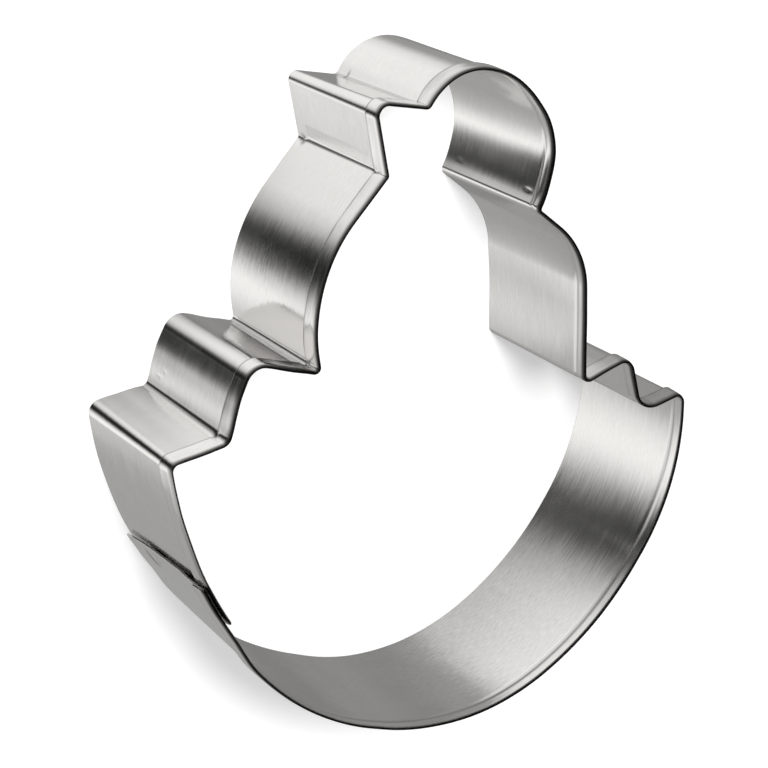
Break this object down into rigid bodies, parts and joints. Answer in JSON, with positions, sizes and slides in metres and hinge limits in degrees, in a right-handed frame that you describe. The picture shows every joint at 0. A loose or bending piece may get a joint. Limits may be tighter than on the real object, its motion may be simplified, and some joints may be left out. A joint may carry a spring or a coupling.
{
  "type": "cookie cutter",
  "caption": "Sheet steel cookie cutter: a hemmed strip folded to the outline of a chick that hatches from an eggshell, lapped and spot welded.",
  "frame": {"origin": "middle of the outline's box, on the plane that the cutting edge stands on", "axes": "+Z from the cutting edge to the hem, +X across the egg towards the chick's back, +Y from the egg's bottom to the chick's head"},
  "size_m": [0.0886, 0.1008, 0.0254],
  "materials": {
    "sheet_steel": "satin, fine grain along the strip",
    "weld": "dull pressed spot"
  },
  "bodies": {
    "root": {"left_flank_wall": "sheet_steel", "left_tip_wall": "sheet_steel", "low_tread_wall": "sheet_steel", "riser_wall": "sheet_steel", "high_tread_wall": "sheet_steel", "breast_wall": "sheet_steel", "throat_wall": "sheet_steel", "beak_lower_wall": "sheet_steel", "beak_upper_wall": "sheet_steel", "brow_wall": "sheet_steel", "crown_wall": "sheet_steel", "nape_wall": "sheet_steel", "neck_wall": "sheet_steel", "shoulder_wall": "sheet_steel", "back_wall": "sheet_steel", "crest_wall": "sheet_steel", "trough_wall": "sheet_steel", "right_tip_wall": "sheet_steel", "right_flank_wall": "sheet_steel", "haunch_wall": "sheet_steel", "bottom_wall": "sheet_steel", "heel_wall": "sheet_steel", "lap_wall": "sheet_steel", "weld_spots": "weld"}
  },
  "joints": []
}
